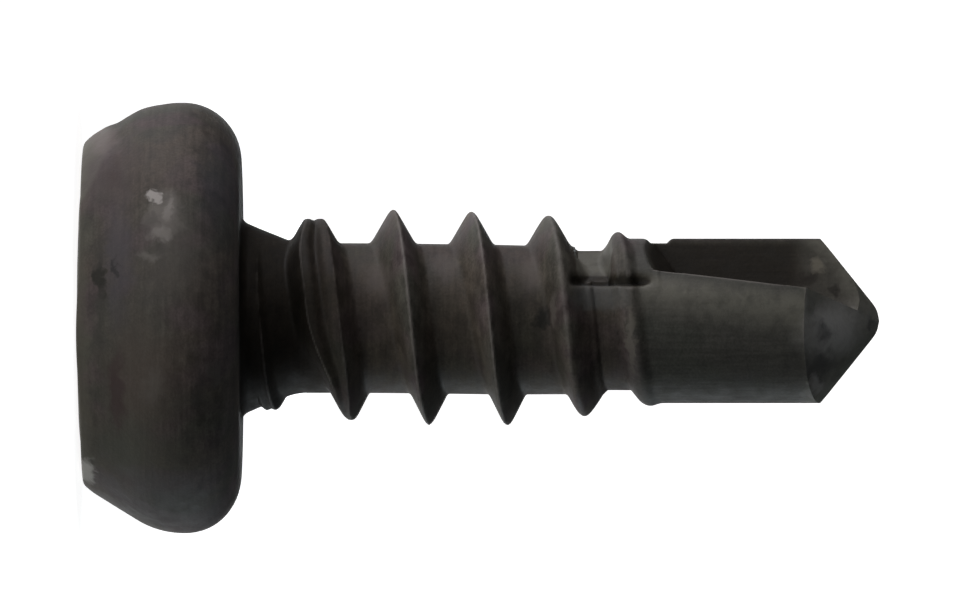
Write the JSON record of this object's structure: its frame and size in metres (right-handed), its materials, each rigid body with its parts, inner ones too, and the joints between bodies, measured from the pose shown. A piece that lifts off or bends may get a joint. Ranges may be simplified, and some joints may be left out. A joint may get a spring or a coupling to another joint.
{
  "type": "self-drilling screw",
  "caption": "Short black phosphated self-drilling screw with a pan framing head, a cross recess, a coarse right-hand thread and a fluted drill point.",
  "frame": {"origin": "centre of the bearing face under the head", "axes": "+Z along the screw's axis from the head to the drill point, +X and -X through the two cutting edges of the drill"},
  "size_m": [0.0074, 0.0074, 0.0139],
  "materials": {
    "steel": "satin"
  },
  "bodies": {
    "root": {"screw": "steel"}
  },
  "joints": []
}
